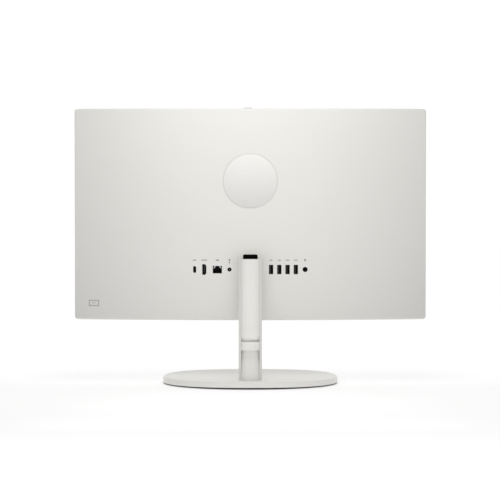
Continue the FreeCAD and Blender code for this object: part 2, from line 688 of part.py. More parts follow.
def power_switch_board():
    low = INNER_LOW + 4.6
    board = block(BUTTON_X - 12, BUTTON_X + 12, BUTTON_Y - 4.5, BUTTON_Y + 5.0, low, low + 1.0)
    switch = block(BUTTON_X - 3, BUTTON_X + 3, BUTTON_Y - 3, BUTTON_Y + 3, low - 1.9, low + 0.1)
    plunger = rod_z(BUTTON_X, BUTTON_Y, INNER_LOW + 2.1, INNER_LOW + 2.8, 1.5)
    return fuse([board, switch, plunger])


def status_light_pipe():
    """Clear rod from a diode on the motherboard to the back of the cover."""
    start, end = BOARD_REAR + GAP, crown(LIGHT_X, LIGHT_Z) - 0.2
    pipe = rod_y(LIGHT_X, start, end, LIGHT_Z, LIGHT_R)
    return fuse([pipe, rod_y(LIGHT_X, start, start + 2.9, LIGHT_Z, 2.0)])


# ---------------------------------------------------------------- sockets on the motherboard
def mouth(x, half_w, half_h):
    """How far back a socket at x can reach, just short of the cover's inside."""
    corners = [inside_of_cover(abs(x) + half_w, PORT_Z + dz) for dz in (-half_h, half_h)]
    return min(corners) - 0.4


def usb_a_socket(x):
    """Upright socket: steel shell, floor and a tongue on the +X side."""
    end = mouth(x, 3.0, 6.7)
    start = BOARD_REAR + GAP
    shell = slab_xz(x - 2.86, x + 2.86, PORT_Z - 6.57, PORT_Z + 6.57, start, end, 0.5)
    space = block(x - 2.56, x + 2.56, start + 3.0, end + 1, PORT_Z - 6.25, PORT_Z + 6.25)
    tongue = block(x + 0.1, x + 1.94, start + 2.9, end - 2.6, PORT_Z - 5.55, PORT_Z + 5.55)
    return fuse([cut(shell, [space]), tongue])


def usb_a_sockets():
    return Part.makeCompound([usb_a_socket(x) for x in USB_A_X])


def usb_c_socket():
    end = mouth(USB_C_X, 1.8, 4.6) - 1.5
    start = BOARD_REAR + GAP
    shell = stadium(USB_C_X, PORT_Z, 3.26, 8.94, start, end)
    space = stadium(USB_C_X, PORT_Z, 2.6, 8.34, start + 3.0, end + 1)
    tongue = block(USB_C_X - 0.35, USB_C_X + 0.35, start + 2.9, end - 0.8, PORT_Z - 3.2, PORT_Z + 3.2)
    return fuse([cut(shell, [space]), tongue])


def hdmi_socket():
    end = mouth(HDMI_X, 3.0, 7.6)
    start = BOARD_REAR + GAP
    shell = hdmi_outline(HDMI_X, 5.6, 15.1, start, end)
    space = hdmi_outline(HDMI_X, 4.75, 14.2, start + 3.0, end + 1)
    tongue = block(HDMI_X - 0.6, HDMI_X + 0.8, start + 2.9, end - 2.8, PORT_Z - 5.4, PORT_Z + 5.4)
    return fuse([cut(shell, [space]), tongue])


def lan_socket():
    """Network jack with its latch channel upwards and eight contact ribs."""
    end = mouth(LAN_X, 8.2, 6.7)
    start = BOARD_REAR + GAP
    body = slab_xz(LAN_X - 7.95, LAN_X + 7.95, PORT_Z - 6.8, PORT_Z + 6.6, start, end, 0.4)
    space = lan_outline(LAN_X, start + 3.0, end + 1)
    rib_x = [LAN_X + 1.02 * (i - 3.5) for i in range(8)]
    ribs = [block(x - 0.2, x + 0.2, start + 2.9, end - 4.5, PORT_Z - 5.3, PORT_Z - 4.3) for x in rib_x]
    return fuse([cut(body, [space])] + ribs)


def lan_shield():
    """Steel cover folded round the network jack, with a sloping tab on each side of the latch channel."""
    end = mouth(LAN_X, 8.2, 6.7)
    start = BOARD_REAR + GAP
    top, half = PORT_Z + 6.9, 8.25
    folded = block(LAN_X - half, LAN_X + half, start, end, PORT_Z - 6.0, top)
    jack = block(LAN_X - half + 0.25, LAN_X + half - 0.25, start - 1, end + 1, PORT_Z - 7.0, top - 0.25)
    tabs = []
    for side in (-1, 1):
        edge = [(6.2, 1.9), (4.4, 1.9), (2.1, 5.4), (2.1, 6.9), (4.2, 6.9), (4.2, 5.4)]
        corners = [(LAN_X + side * dx, PORT_Z + dz) for dx, dz in edge]
        tabs.append(outline_y(corners, end + 0.05, end + 0.3))
        x0, x1 = sorted((LAN_X + side * 2.1, LAN_X + side * 4.2))
        tabs.append(block(x0, x1, end - 0.5, end + 0.3, top - 0.25, top))
    return fuse([folded.cut(jack)] + tabs)


def dc_socket():
    """Barrel power inlet with its centre contact."""
    end = mouth(DC_X, DC_R, DC_R)
    start = BOARD_REAR + GAP
    block_end = end - 3.0
    body = block(DC_X - 3.9, DC_X + 3.9, start, block_end, PORT_Z - 4.6, PORT_Z + 4.6)
    nose = rod_y(DC_X, block_end - 0.2, end, PORT_Z, DC_R)
    bore = rod_y(DC_X, start + 3.0, end + 1, PORT_Z, DC_R - 0.5)
    contact = rod_y(DC_X, start + 2.9, end - 0.8, PORT_Z, 0.75)
    return fuse([cut(fuse([body, nose]), [bore]), contact])


def audio_socket():
    """Headset jack: plain bore in a round nose that fills the cover's hole."""
    end = crown(abs(AUDIO_X) + AUDIO_R, PORT_Z) - 0.5
    start = BOARD_REAR + GAP
    block_end = mouth(AUDIO_X, 4.0, 4.0) - 1.0
    body = block(AUDIO_X - 3.6, AUDIO_X + 3.6, start, block_end, PORT_Z - 4.0, PORT_Z + 4.0)
    nose = rod_y(AUDIO_X, block_end - 0.2, end, PORT_Z, AUDIO_R)
    bore = rod_y(AUDIO_X, start + 1.2, end + 1, PORT_Z, 1.8)
    return cut(fuse([body, nose]), [bore])


# ---------------------------------------------------------------- column
SCOOP_TOP, SCOOP_DEEP_TOP, SCOOP_DEEP_LOW, SCOOP_LOW = 82.0, 62.0, 56.0, 12.5
SCOOP_DEPTH = 7.2
BAND_T = 1.6
CORE_HALF, CORE_Y0, CORE_Y1, CORE_T = 9.0, 42.6, 55.6, 1.8
THUMB_Y = (CORE_Y0 + CORE_Y1) / 2
CORE_TOP = 170.0
WEIGHT_LOW, WEIGHT_TOP, FLANGE_TOP = 2.8, 6.0, 8.4
ARM_HALF = 9.5
ARM_SCREW_Z = (148, 160)
COLUMN_REAR = COLUMN_Y + COLUMN_D / 2
COLUMN_LOW = BASE_TOP + 0.05


def scoop_share(z):
    """How much of the scoop's full depth there is at height z, between 0 and 1."""
    if z > SCOOP_DEEP_TOP:
        t = (z - SCOOP_DEEP_TOP) / (SCOOP_TOP - SCOOP_DEEP_TOP)
    else:
        t = max(0.0, (SCOOP_DEEP_LOW - z) / (SCOOP_DEEP_LOW - SCOOP_LOW))
    return 0.5 + 0.5 * math.cos(math.pi * min(t, 1.0))


def scoop(grow):
    """Hollow in the back of the column for cables. Its floor keeps the column's round section."""
    clear = 0.3
    columns, rows, reach = 13, 33, 15.0
    low, high = COLUMN_LOW - 2.0, SCOOP_TOP + 6.0
    grid = []
    for i in range(columns):
        x = reach * (2 * i / (columns - 1) - 1)
        back = COLUMN_Y + COLUMN_D / 2 * (1 - abs(2 * x / COLUMN_W) ** COLUMN_POWER) ** (1 / COLUMN_POWER)
        line = []
        for k in range(rows):
            z = low + (high - low) * k / (rows - 1)
            line.append(V(x, back + clear - grow - (SCOOP_DEPTH + clear) * scoop_share(z), z))
        grid.append(line)
    floor = Part.BSplineSurface()
    floor.interpolate(grid)
    return floor.toShape().extrude(V(0, 40, 0))


def column_solid(shrink, low, top):
    """The column's full outline, smaller all round by shrink."""
    return prism(COLUMN_W / 2 - shrink, COLUMN_D / 2 - shrink, COLUMN_POWER, COLUMN_Y, low, top)


def column_outside():
    return round_top(column_solid(0.0, COLUMN_LOW, COLUMN_TOP), COLUMN_TOP, 4.5)


def strip_zone(half, y0):
    return wide(half, y0, COLUMN_REAR + 20, COLUMN_LOW - 5, COLUMN_TOP + 5)


def column_hollow():
    top = COLUMN_TOP - COLUMN_WALL
    hollow = column_solid(COLUMN_WALL, COLUMN_LOW - 1.0, top)
    return round_top(hollow, top, 2.2)


def column_shell():
    """Front and sides of the column, in one U-shaped moulding."""
    arm_gate = wide(9.9, COLUMN_Y - 30, COLUMN_Y - 5, 169.4, 188.8)
    moulding = column_outside().cut(strip_zone(STRIP_HALF + 0.1, COLUMN_Y))
    return moulding.cut(column_hollow()).cut(arm_gate).Solids[0]


def column_rear_cover():
    """Strip that closes the back of the column, scooped low down so that cables can pass."""
    strip = column_outside().common(strip_zone(STRIP_HALF - 0.1, COLUMN_Y + GAP))
    strip = strip.cut(scoop(0.0))
    room = column_hollow().cut(scoop(COLUMN_WALL))
    return one(strip.cut(room))


def cable_band():
    """Bridge across the scoop that holds the cables in."""
    def level(grow, beyond):
        return prism(COLUMN_W / 2 + grow, COLUMN_D / 2 + grow, COLUMN_POWER, COLUMN_Y,
                     BAND_LOW - beyond, BAND_HIGH + beyond)

    zone = wide(STRIP_HALF - 0.15, COLUMN_Y + 5, COLUMN_REAR + 5, BAND_LOW, BAND_HIGH)
    return one(level(0.2, 5).cut(level(-BAND_T, 6)).common(zone))


def column_core():
    """Steel tube up the inside of the column, with a nut block at its foot."""
    tube = wide(CORE_HALF, CORE_Y0, CORE_Y1, FLANGE_TOP + GAP, CORE_TOP)
    bore = wide(CORE_HALF - CORE_T, CORE_Y0 + CORE_T, CORE_Y1 - CORE_T, 22.0, CORE_TOP + 1)
    screw = rod_z(0, THUMB_Y, FLANGE_TOP, 23.0, 3.05)
    cross = [rod_y(0, CORE_Y0 - 1, CORE_Y1 + 1, z, 2.05) for z in ARM_SCREW_Z]
    return cut(tube, [bore, screw] + cross)


FLANGE_SCREWS = ((-26, 34), (26, 34), (-26, 67), (26, 67))


def core_flange():
    plate = slab_xy(-34, 34, 25, 76, WEIGHT_TOP + GAP, FLANGE_TOP, 6)
    holes = [rod_z(x, y, WEIGHT_TOP, FLANGE_TOP + 1, 2.05) for x, y in FLANGE_SCREWS]
    return cut(plate, holes + [rod_z(0, THUMB_Y, WEIGHT_TOP, FLANGE_TOP + 1, 3.2)])


def hinge_arm():
    """Steel arm: a leg in the core, a reach forward into the head and a barrel round the tilt pin."""
    inset = CORE_T + 0.15
    leg = wide(CORE_HALF - inset, CORE_Y0 + inset, CORE_Y1 - inset, 140, 172)
    barrel = rod_x(-ARM_HALF, ARM_HALF, TILT_Y, TILT_Z, 7.0)
    side = [(TILT_Y, TILT_Z - 6.9), (24.0, 173.2), (30.0, 170.6), (55.0, 170.6),
            (55.0, 186.5), (53.0, 188.3), (30.0, 188.3), (TILT_Y, TILT_Z + 6.9)]
    corners = [V(-ARM_HALF, y, z) for y, z in side]
    reach = Part.Face(Part.makePolygon(corners + corners[:1])).extrude(V(2 * ARM_HALF, 0, 0))
    bore = rod_x(-12, 12, TILT_Y, TILT_Z, 4.05)
    cross = [rod_y(0, 40, 60, z, 1.95) for z in ARM_SCREW_Z]
    return cut(fuse([leg, barrel, reach]), [bore] + cross)


def arm_screws():
    made = []
    for z in ARM_SCREW_Z:
        head = rod_y(0, CORE_Y0 - 1.6, CORE_Y0 - 0.05, z, 3.4)
        made.append(fuse([head, rod_y(0, CORE_Y0 - 0.2, CORE_Y1 - 0.3, z, 1.9)]))
    return Part.makeCompound(made)


# ---------------------------------------------------------------- foot
FOOT_PADS = ((-84, 34), (84, 34), (-84, -34), (84, -34), (-36, 64), (36, 64), (-36, -64), (36, -64))
PAD_R = 7.0
BASE_RIM = 2.6            # height of the foot's lower rim above the desk


def base_cover():
    outside = prism(BASE_W / 2, BASE_D / 2, BASE_POWER, 0, BASE_RIM, BASE_TOP)
    outside = round_top(outside, BASE_TOP, 3.2)
    outside = round_top(outside, BASE_RIM, 0.8)
    hollow = prism(BASE_W / 2 - 2.5, BASE_D / 2 - 2.5, BASE_POWER, 0, 2.0, BASE_TOP - 2.5)
    socket = wide(CORE_HALF + 0.3, CORE_Y0 - 0.3, CORE_Y1 + 0.3, 5, BASE_TOP + 1)
    return cut(outside, [hollow, socket])


def base_bottom_cover():
    plate = prism(BASE_W / 2 - 8.0, BASE_D / 2 - 8.0, BASE_POWER, 0, 0.8, BASE_RIM - GAP)
    pockets = [rod_z(x, y, 0, 2.1, PAD_R + 0.1) for x, y in FOOT_PADS]
    return cut(plate, pockets + [rod_z(0, THUMB_Y, 0, 4, 10.0)])


def base_feet():
    return Part.makeCompound([rod_z(x, y, 0, 2.05, PAD_R) for x, y in FOOT_PADS])


def base_weight():
    plate = prism(BASE_W / 2 - 3.4, BASE_D / 2 - 3.4, BASE_POWER, 0, WEIGHT_LOW, WEIGHT_TOP)
    holes = [rod_z(0, THUMB_Y, 2, 7, 3.3)]
    for x, y in FLANGE_SCREWS:
        holes += [rod_z(x, y, 2, 7, 2.2), rod_z(x, y, 2, 4.7, 3.8)]
    return cut(plate, holes)


def base_screws():
    """Screws that hold the weight up against the flange."""
    made = [fuse([rod_z(x, y, 3.0, 4.6, 3.6), rod_z(x, y, 4.5, 8.2, 2.0)]) for x, y in FLANGE_SCREWS]
    return Part.makeCompound(made)


def base_thumbscrew():
    """Captive screw that holds the column to the foot, turned from below."""
    head = rod_z(0, THUMB_Y, 0.9, 2.7, 9.0)
    slot = block(-8, 8, THUMB_Y - 0.8, THUMB_Y + 0.8, 0.5, 1.9)
    return fuse([cut(head, [slot]), rod_z(0, THUMB_Y, 2.6, 20.0, 3.0)])


# ---------------------------------------------------------------- make them all
BUILDERS = (
    base_cover, base_bottom_cover, base_feet, base_weight, base_screws, base_thumbscrew,
    column_shell, column_rear_cover, cable_band, column_core, core_flange, hinge_arm, arm_screws,
    rear_cover, emblem_disc, top_grilles, bottom_grille, bezel_frame, chin_cover, cover_screws,
    lcd_cell, optical_sheets, light_guide, led_strip, panel_tray, panel_board,
    chassis_plate, hinge_bracket, hinge_pin, hinge_nut, hinge_washers, chassis_screws,
    motherboard, cold_plate, heat_pipe, fin_stack, fan_housing, fan_rotor,
    memory_sockets, memory_modules, ssd_card, wifi_card, coin_cell, antennas,
    camera_module, camera_lens, camera_shutter, power_button, power_switch_board, status_light_pipe,
    usb_a_sockets, usb_c_socket, hdmi_socket, lan_socket, lan_shield, dc_socket, audio_socket,
)

parts = {make.__name__: make() for make in BUILDERS}
parts["speaker_left"] = speaker(-1)
parts["speaker_right"] = speaker(1)

os.makedirs("parts", exist_ok=True)
for name, shape in parts.items():
    if not shape.isValid() or shape.Volume <= 0:
        print("PROBLEM", name, shape.isValid(), shape.Volume)
    shape.exportStep(f"parts/{name}.step")
print(len(parts), "parts")
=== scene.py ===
"""Looks, lights and camera for the all-in-one desktop computer, seen from behind."""

import math
import bmesh
import bpy
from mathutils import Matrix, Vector
from mathutils.bvhtree import BVHTree


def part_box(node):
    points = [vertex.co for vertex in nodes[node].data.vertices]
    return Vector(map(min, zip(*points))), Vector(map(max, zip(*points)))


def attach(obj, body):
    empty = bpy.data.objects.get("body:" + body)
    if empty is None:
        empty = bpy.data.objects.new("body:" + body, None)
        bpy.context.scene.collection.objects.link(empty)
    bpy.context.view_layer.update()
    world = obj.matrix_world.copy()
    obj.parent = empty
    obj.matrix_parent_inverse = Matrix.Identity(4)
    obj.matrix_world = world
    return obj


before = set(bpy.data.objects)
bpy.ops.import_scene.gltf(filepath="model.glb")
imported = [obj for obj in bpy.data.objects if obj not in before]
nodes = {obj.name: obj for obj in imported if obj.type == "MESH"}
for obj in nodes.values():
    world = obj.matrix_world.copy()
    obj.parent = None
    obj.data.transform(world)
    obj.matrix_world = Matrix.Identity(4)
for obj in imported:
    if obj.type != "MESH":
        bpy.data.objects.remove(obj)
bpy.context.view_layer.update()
scene = bpy.context.scene


# ---------------------------------------------------------------- materials
class Shader:
    """A Principled material with helpers that wire procedural detail into it."""

    def __init__(self, name, mat=None):
        self.mat = mat or bpy.data.materials.new(name)
        self.mat.use_nodes = True
        self.tree = self.mat.node_tree
        self.bsdf = self.tree.nodes["Principled BSDF"]
        self.coords = self.tree.nodes.new("ShaderNodeTexCoord").outputs["Object"]

    def node(self, kind, inputs=None, **props):
        n = self.tree.nodes.new(kind)
        for key, value in props.items():
            setattr(n, key, value)
        for key, value in (inputs or {}).items():
            if isinstance(value, bpy.types.NodeSocket):
                self.tree.links.new(value, n.inputs[key])
            else:
                n.inputs[key].default_value = value
        return n

    def stretched(self, scale):
        return self.node("ShaderNodeMapping", {"Vector": self.coords, "Scale": scale}).outputs["Vector"]

    def noise(self, scale, detail=3.0, vector=None):
        inputs = {"Vector": vector or self.coords, "Scale": scale, "Detail": detail, "Roughness": 0.5}
        return self.node("ShaderNodeTexNoise", inputs).outputs["Fac"]

    def ramp(self, fac, low, high, lo_value, hi_value):
        n = self.node("ShaderNodeMapRange", {"Value": fac, "From Min": low, "From Max": high,
                                             "To Min": lo_value, "To Max": hi_value})
        return n.outputs["Result"]

    def mix(self, fac, a, b):
        n = self.node("ShaderNodeMix", data_type="RGBA")
        for socket, value in ((n.inputs[0], fac), (n.inputs[6], a), (n.inputs[7], b)):
            if isinstance(value, bpy.types.NodeSocket):
                self.tree.links.new(value, socket)
            else:
                socket.default_value = value
        return n.outputs[2]

    def set(self, name, value):
        if isinstance(value, bpy.types.NodeSocket):
            self.tree.links.new(value, self.bsdf.inputs[name])
        else:
            self.bsdf.inputs[name].default_value = value

    def mottled(self, fac, dark, light, low=0.3, high=0.7):
        """Base colour that runs from dark to light as fac goes from low to high."""
        self.set("Base Color", self.mix(self.ramp(fac, low, high, 0.0, 1.0), dark, light))

    def vector(self, operation, a, b=None):
        inputs = {0: a} if b is None else {0: a, 1: b}
        return self.node("ShaderNodeVectorMath", inputs, operation=operation)

    def bump(self, height, distance, strength=1.0, after=None):
        inputs = {"Height": height, "Distance": distance, "Strength": strength}
        if after:
            inputs["Normal"] = after
        out = self.node("ShaderNodeBump", inputs).outputs["Normal"]
        self.set("Normal", out)
        return out


def rgba(colour, gain=1.0):
    return tuple(min(1.0, c * gain) for c in colour) + (1.0,)


def moulded(name, colour, rough, grain=0.00004, tint=0.03, coat=0.0, size=2600.0, ior=1.45):
    """Injection-moulded plastic: spark-eroded grain, faint flow marks and uneven sheen."""
    s = Shader(name)
    flow = s.noise(7.0, 2.0)
    s.mottled(flow, rgba(colour, 1.0 - tint), rgba(colour, 1.0 + tint))
    pores = s.noise(size, 2.0)
    s.set("Roughness", s.ramp(s.noise(size * 0.2, 3.0), 0.3, 0.7, rough - 0.04, rough + 0.05))
    wave = s.bump(s.noise(16.0, 1.0), 0.00012, 0.5)
    s.bump(pores, grain, 0.7, after=wave)
    s.set("IOR", ior)
    s.set("Coat Weight", coat)
    s.set("Coat Roughness", 0.12)
    return s.mat


def paint_light_into(mat, factor):
    """Multiplies a material's base colour by what factor(shader) returns; used to paint light and shade into the
    colour.
    """
    s = Shader(mat.name, mat)
    colour = s.bsdf.inputs["Base Color"].links[0].from_socket
    s.set("Base Color", s.vector("MULTIPLY", colour, factor(s)).outputs[0])


def from_middle(s, middle, reach):
    """Distance from a point in the XZ plane, where reach along X and Z counts as 1."""
    shift = s.vector("SUBTRACT", s.coords, (middle[0], 0.0, middle[1])).outputs[0]
    flat = s.vector("MULTIPLY", shift, (1 / reach[0], 0.0, 1 / reach[1])).outputs[0]
    return s.vector("LENGTH", flat).outputs["Value"]


# The next three copy the soft shading of the photograph. They are fixed to the object, not to the camera.
def painted_cover_light_and_shade(s):
    """Painted light and shade: the cover is slightly lighter in its middle and duller towards its corners."""
    away = from_middle(s, COVER_MIDDLE, COVER_REACH)
    squared = s.node("ShaderNodeMath", {0: away, 1: 2.0}, operation="POWER").outputs[0]
    return s.ramp(squared, 0.0, 2.0, 1.08, 0.90)


def painted_column_side_shade(s):
    """Painted shade: the column is slightly duller where it turns away at its sides. Its height doesn't count."""
    return s.ramp(from_middle(s, (0.0, 0.0), (COLUMN_HALF, 1e6)), 0.25, 1.0, 1.0, 0.90)


def painted_badge_sheen(s):
    """Painted sheen: the badge is darker at its bottom and lighter at its top, and its rim has a fine darker line.
    """
    height = s.node("ShaderNodeSeparateXYZ", {"Vector": s.coords}).outputs["Z"]
    sheen = s.ramp(height, EMBLEM_Z - EMBLEM_R, EMBLEM_Z + EMBLEM_R, 0.88, 1.12)
    rim = s.ramp(from_middle(s, (0.0, EMBLEM_Z), (EMBLEM_R, EMBLEM_R)), 0.965, 0.99, 1.0, 0.90)
    return s.node("ShaderNodeMath", {0: sheen, 1: rim}, operation="MULTIPLY").outputs[0]


def metal(name, colour, rough, grain_axis=(1.0, 1.0, 60.0), scale=40.0, depth=0.00002):
    """Bare metal with drawn or ground lines along one direction."""
    s = Shader(name)
    lines = s.noise(scale, 4.0, s.stretched(grain_axis))
    s.set("Metallic", 1.0)
    s.mottled(lines, rgba(colour, 0.88), rgba(colour, 1.06))
    s.set("Roughness", s.ramp(lines, 0.25, 0.75, rough - 0.06, rough + 0.10))
    s.bump(lines, depth, 0.6)
    return s.mat


def galvanised(name, colour):
    """Zinc-coated sheet with its patchy crystals."""
    s = Shader(name)
    cells = s.node("ShaderNodeTexVoronoi", {"Vector": s.coords, "Scale": 160.0}).outputs["Color"]
    grey = s.node("ShaderNodeSeparateColor", {"Color": cells}).outputs["Red"]
    s.set("Metallic", 1.0)
    s.set("Base Color", s.mix(grey, rgba(colour, 0.85), rgba(colour, 1.08)))
    s.set("Roughness", s.ramp(grey, 0.0, 1.0, 0.32, 0.5))
    s.bump(s.noise(500.0, 2.0), 0.00002, 0.5)
    return s.mat


def circuit(name, mask, trace):
    """Solder mask with runs of traces and scattered bright pads."""
    s = Shader(name)
    upright = s.node("ShaderNodeMapping", {"Vector": s.coords, "Rotation": (math.pi / 2, 0, 0)})
    brick = s.node("ShaderNodeTexBrick", {
        "Vector": upright.outputs["Vector"], "Scale": 90.0,
        "Color1": rgba(mask), "Color2": rgba(mask, 0.8), "Mortar": rgba(trace),
        "Mortar Size": 0.012, "Brick Width": 0.9, "Row Height": 0.17}).outputs["Color"]
    pads = s.node("ShaderNodeTexVoronoi", {"Vector": s.coords, "Scale": 260.0}).outputs["Distance"]
    shine = s.ramp(pads, 0.10, 0.13, 1.0, 0.0)
    s.set("Base Color", s.mix(shine, brick, (0.75, 0.6, 0.32, 1.0)))
    s.set("Metallic", shine)
    s.set("Roughness", s.ramp(s.noise(300.0), 0.3, 0.7, 0.3, 0.42))
    s.bump(pads, 0.00004, 0.5)
    return s.mat


def rubber(name, colour):
    s = Shader(name)
    dust = s.noise(180.0, 4.0)
    s.mottled(dust, rgba(colour), rgba(colour, 1.9), 0.4, 0.8)
    s.set("Roughness", s.ramp(dust, 0.3, 0.7, 0.75, 0.92))
    s.bump(s.noise(1500.0, 2.0), 0.00005, 0.8)
    return s.mat


def screen_glass(name):
    """Unlit anti-glare picture area with a faint uneven haze."""
    s = Shader(name)
    sparkle = s.noise(3500.0, 1.0)
    haze = s.noise(3.0, 2.0)
    s.mottled(haze, (0.006, 0.006, 0.007, 1), (0.012, 0.012, 0.014, 1))
    s.set("Roughness", s.ramp(sparkle, 0.3, 0.7, 0.26, 0.36))
    s.set("IOR", 1.5)
    s.bump(sparkle, 0.00001, 0.5)
    return s.mat


def clear(name, colour, rough, transmission=0.9):
    s = Shader(name)
    s.mottled(s.noise(30.0), rgba(colour, 0.95), rgba(colour, 1.03))
    s.set("Transmission Weight", transmission)
    s.set("Roughness", s.ramp(s.noise(200.0), 0.3, 0.7, rough, rough + 0.05))
    s.bump(s.noise(900.0), 0.00001, 0.4)
    return s.mat


def ink(name, colour):
    """Printed mark: flat ink with a slightly ragged, uneven cover."""
    s = Shader(name)
    cover = s.noise(1200.0, 3.0)
    s.mottled(cover, rgba(colour, 0.9), rgba(colour, 1.12))
    s.set("Roughness", s.ramp(cover, 0.3, 0.7, 0.5, 0.65))
    s.bump(cover, 0.00001, 0.5)
    return s.mat


STEEL = (0.60, 0.60, 0.61)
# Middle and reach of the light and shade painted on the cover.
COVER_MIDDLE, COVER_REACH = (0.0, 0.300), (0.29, 0.18)      # each as X and Z
# Half width of the column, used for its painted side shade.
COLUMN_HALF = 0.0175
EMBLEM_Z, EMBLEM_R = 0.3094, 0.0412
head_white = moulded("head_white", (0.812, 0.803, 0.768), 0.50, tint=0.006)
foot_white = moulded("foot_white", (0.862, 0.853, 0.817), 0.50, tint=0.006)
column_white = moulded("column_white", (0.862, 0.853, 0.817), 0.50, tint=0.006)
vent_white = moulded("vent_white", (0.70, 0.69, 0.66), 0.55, tint=0.01)
badge_white = moulded("badge_white", (0.872, 0.865, 0.832), 0.30, grain=0.000004, tint=0.004, coat=0.15)
# Painted light and shade multiplied into the base colours of the cover, the column and the badge.
paint_light_into(head_white, painted_cover_light_and_shade)
paint_light_into(column_white, painted_column_side_shade)
paint_light_into(badge_white, painted_badge_sheen)
satin_black = moulded("satin_black", (0.012, 0.012, 0.013), 0.42, tint=0.1)
# Black plastic, made darker still and less shiny as painted shade inside the sockets.
socket_black_and_painted_shade = moulded("socket_black_and_painted_shade", (0.004, 0.004, 0.004), 0.5, tint=0.1, ior=1.22)
tongue_black = moulded("tongue_black", (0.035, 0.035, 0.036), 0.45, tint=0.1)
dark_foot = moulded("dark_foot", (0.035, 0.035, 0.037), 0.6, tint=0.08, grain=0.00008)
grey_slide = moulded("grey_slide", (0.11, 0.11, 0.108), 0.45, tint=0.02)
key_white = moulded("key_white", (0.72, 0.71, 0.68), 0.38, tint=0.01)
speaker_black = moulded("speaker_black", (0.03, 0.03, 0.032), 0.55, tint=0.1, grain=0.0001)
fan_black = moulded("fan_black", (0.025, 0.025, 0.026), 0.4, tint=0.1)
card_black = moulded("card_black", (0.02, 0.02, 0.022), 0.35, tint=0.08)
# Black finish of the hinge arm, made nearly black as painted shade in the slot it shows through.
arm_black_and_painted_shade = moulded("arm_black_and_painted_shade", (0.006, 0.006, 0.006), 0.55, tint=0.1, grain=0.0001, size=1200.0)
weight_black = moulded("weight_black", (0.06, 0.06, 0.06), 0.5, tint=0.1, grain=0.0001, size=900.0)
film_white = moulded("film_white", (0.86, 0.86, 0.88), 0.35, tint=0.01)
strip_white = moulded("strip_white", (0.85, 0.82, 0.62), 0.4, tint=0.03)
pad_rubber = rubber("pad_rubber", (0.03, 0.03, 0.03))
drawn_steel = metal("drawn_steel", STEEL, 0.32)
ground_steel = metal("ground_steel", STEEL, 0.22, (60.0, 1.0, 1.0))
zinc_screw = metal("zinc_screw", (0.66, 0.67, 0.70), 0.28, (8.0, 8.0, 8.0))
# Socket shells: plated metal made nearly black as painted shade inside the sockets.
painted_shade_nickel = metal("painted_shade_nickel", (0.012, 0.012, 0.012), 0.40, (1.0, 40.0, 1.0))
bright_tin = metal("bright_tin", (0.55, 0.55, 0.56), 0.34, (1.0, 40.0, 1.0))
aluminium = metal("aluminium", (0.82, 0.82, 0.83), 0.3, (1.0, 1.0, 40.0))
copper = metal("copper", (0.80, 0.42, 0.28), 0.3, (1.0, 1.0, 30.0))
brass = metal("brass", (0.78, 0.60, 0.30), 0.3, (8.0, 8.0, 8.0))
zinc_sheet = galvanised("zinc_sheet", (0.66, 0.67, 0.68))
board_green = circuit("board_green", (0.008, 0.075, 0.03), (0.02, 0.14, 0.06))
board_blue = circuit("board_blue", (0.006, 0.02, 0.09), (0.02, 0.05, 0.18))
screen = screen_glass("screen")
acrylic = clear("acrylic", (0.93, 0.95, 0.96), 0.05)
lens_glass = clear("lens_glass", (0.25, 0.22, 0.35), 0.02, 0.6)
smoked_pipe = clear("smoked_pipe", (0.10, 0.10, 0.10), 0.15, 0.3)
mark_ink = ink("mark_ink", (0.09, 0.09, 0.087))
faint_ink = ink("faint_ink", (0.45, 0.45, 0.43))
label_ink = ink("label_ink", (0.33, 0.33, 0.32))

FINISH = {
    head_white: "rear_cover chin_cover",
    foot_white: "base_cover",
    column_white: "column_shell column_rear_cover cable_band",
    vent_white: "top_grilles bottom_grille",
    badge_white: "emblem_disc",
    satin_black: "bezel_frame camera_module",
    socket_black_and_painted_shade: "dc_socket audio_socket lan_socket memory_sockets",
    dark_foot: "base_bottom_cover",
    grey_slide: "camera_shutter",
    key_white: "power_button",
    speaker_black: "speaker_left speaker_right",
    fan_black: "fan_housing fan_rotor",
    arm_black_and_painted_shade: "hinge_arm hinge_bracket",
    weight_black: "base_weight",
    film_white: "optical_sheets",
    strip_white: "led_strip",
    pad_rubber: "base_feet",
    drawn_steel: "column_core core_flange coin_cell",
    ground_steel: "hinge_pin hinge_nut base_thumbscrew",
    zinc_screw: "base_screws arm_screws cover_screws chassis_screws",
    painted_shade_nickel: "usb_a_sockets usb_c_socket hdmi_socket",
    bright_tin: "lan_shield",
    aluminium: "cold_plate fin_stack",
    copper: "heat_pipe",
    brass: "hinge_washers antennas",
    zinc_sheet: "panel_tray chassis_plate",
    board_green: "motherboard panel_board power_switch_board memory_modules",
    board_blue: "ssd_card wifi_card",
    screen: "lcd_cell",
    acrylic: "light_guide",
    lens_glass: "camera_lens",
    smoked_pipe: "status_light_pipe",
}
for material, names in FINISH.items():
    for name in names.split():
        data = nodes[name].data
        data.materials.clear()
        data.materials.append(material)


def darker_tongue(name, shallow, deep):
    """Gives the end of a socket's tongue its plastic: the rearward faces between two depths."""
    data = nodes[name].data
    data.materials.append(tongue_black)
    rear = max(v.co.y for v in data.vertices)
    for face in data.polygons:
        if face.normal.y > 0.9 and rear - deep < face.center.y < rear - shallow:
            face.material_index = 1


darker_tongue("usb_a_sockets", 0.002, 0.004)
darker_tongue("hdmi_socket", 0.002, 0.004)


# ---------------------------------------------------------------- printed marks on the rear cover
cover = nodes["rear_cover"].data
cover_tree = BVHTree.FromPolygons([v.co.copy() for v in cover.vertices],
                                  [tuple(p.vertices) for p in cover.polygons])


INK_LIFT, INK_ROOT = 0.00005, 0.00003      # how far the ink stands off the cover and reaches into it


def skin_y(x, z):
    """Y of the rear cover's outside at x and z."""
    hit = cover_tree.ray_cast(Vector((x, 0.2, z)), Vector((0, -1, 0)))
    return hit[0].y


